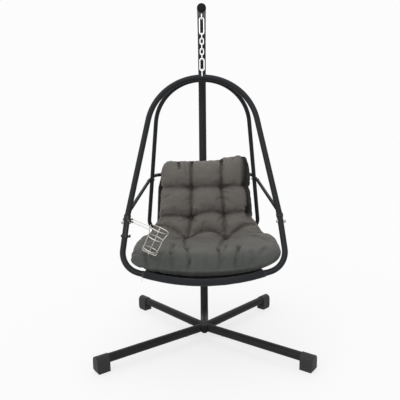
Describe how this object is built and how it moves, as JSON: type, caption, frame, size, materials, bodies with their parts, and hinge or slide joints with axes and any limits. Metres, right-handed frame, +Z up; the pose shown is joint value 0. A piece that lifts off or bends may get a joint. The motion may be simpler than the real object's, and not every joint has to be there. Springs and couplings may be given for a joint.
{
  "type": "hanging egg chair",
  "caption": "Hanging chair: tube basket with sling, tufted cushion and wire cup holder, hung by snap hooks and chain from a curved mast on a splayed floor base.",
  "frame": {"origin": "on the floor, under the middle of the box round the whole chair", "axes": "+Z up; the open front of the basket faces -Y; +X is the right of someone in front of the chair"},
  "size_m": [1.217, 1.0075, 1.9904],
  "materials": {
    "stand_paint": "satin",
    "basket_paint": "satin",
    "black_plastic": "matte",
    "zinc_hanger": "gloss",
    "zinc_fasteners": "satin",
    "sling_fabric": "matte",
    "cushion_fabric": "matte",
    "holder_wire": "gloss",
    "sleeve_rubber": "matte"
  },
  "bodies": {
    "root": {"mast_lower": "stand_paint", "mast_upper": "stand_paint", "mast_spigot": "stand_paint", "mast_joint_bolts": "zinc_fasteners", "mast_joint_nuts": "zinc_fasteners", "mast_foot_plug": "black_plastic", "mast_tip_plug": "black_plastic", "leg_front_left": "stand_paint", "leg_front_right": "stand_paint", "leg_rear_left": "stand_paint", "leg_rear_right": "stand_paint", "foot_cap_front_left": "black_plastic", "foot_cap_front_right": "black_plastic", "foot_cap_rear_left": "black_plastic", "foot_cap_rear_right": "black_plastic", "leg_socket_left": "stand_paint", "leg_socket_right": "stand_paint", "leg_screws": "zinc_fasteners", "mast_eye": "zinc_hanger"},
    "upper_hook": {"upper_hook_body": "zinc_hanger", "upper_hook_pin": "zinc_hanger"},
    "upper_gate": {"upper_hook_gate": "zinc_hanger"},
    "chain": {"chain_link_1": "zinc_hanger", "chain_link_2": "zinc_hanger", "chain_link_3": "zinc_hanger", "chain_link_4": "zinc_hanger", "chain_link_5": "zinc_hanger", "lower_hook_body": "zinc_hanger", "lower_hook_pin": "zinc_hanger"},
    "lower_gate": {"lower_hook_gate": "zinc_hanger"},
    "basket": {"front_arch": "basket_paint", "seat_bow": "basket_paint", "side_bolts": "zinc_fasteners", "side_cap_nuts": "zinc_fasteners", "joint_collar_left": "black_plastic", "joint_collar_right": "black_plastic", "joint_spigot_left": "basket_paint", "joint_spigot_right": "basket_paint", "rear_hoop": "basket_paint", "brace_left": "basket_paint", "brace_right": "basket_paint", "brace_bolts": "zinc_fasteners", "brace_nuts": "zinc_fasteners", "back_rail": "basket_paint", "basket_eye": "zinc_hanger", "apex_gusset": "basket_paint", "sling": "sling_fabric", "cushion": "cushion_fabric"},
    "cup_holder": {"cup_holder_frame": "holder_wire", "cup_holder_sleeves": "sleeve_rubber", "holder_clamp_upper": "black_plastic", "holder_clamp_lower": "black_plastic", "holder_clamp_knob": "black_plastic"}
  },
  "joints": [
    {"name": "swing_sideways", "type": "hinge", "parent": "root", "child": "upper_hook", "pos_m": [0, -0.09, 1.91175], "axis": [0, 1, 0], "range_deg": [-20, 20]},
    {"name": "swing_fore_aft", "type": "hinge", "parent": "upper_hook", "child": "chain", "pos_m": [0, -0.09, 1.8288], "axis": [1, 0, 0], "range_deg": [-20, 3]},
    {"name": "basket_swivel", "type": "hinge", "parent": "chain", "child": "basket", "pos_m": [0, -0.09, 1.6296], "axis": [0, 0, 1], "range_deg": [-20, 20]},
    {"name": "upper_gate_hinge", "type": "hinge", "parent": "upper_hook", "child": "upper_gate", "pos_m": [0.012, -0.09, 1.8576], "axis": [0, 1, 0], "range_deg": [-24, 0], "stiffness_Nm_per_rad": 0.05, "springref_deg": 5.73},
    {"name": "lower_gate_hinge", "type": "hinge", "parent": "chain", "child": "lower_gate", "pos_m": [-0.012, -0.09, 1.65104], "axis": [0, 1, 0], "range_deg": [0, 24], "stiffness_Nm_per_rad": 0.05, "springref_deg": -5.73},
    {"name": "cup_holder_swivel", "type": "hinge", "parent": "basket", "child": "cup_holder", "pos_m": [-0.41463, -0.3296, 0.83506], "axis": [0.0972, 0.3937, 0.9141], "range_deg": [-50, 8]}
  ]
}
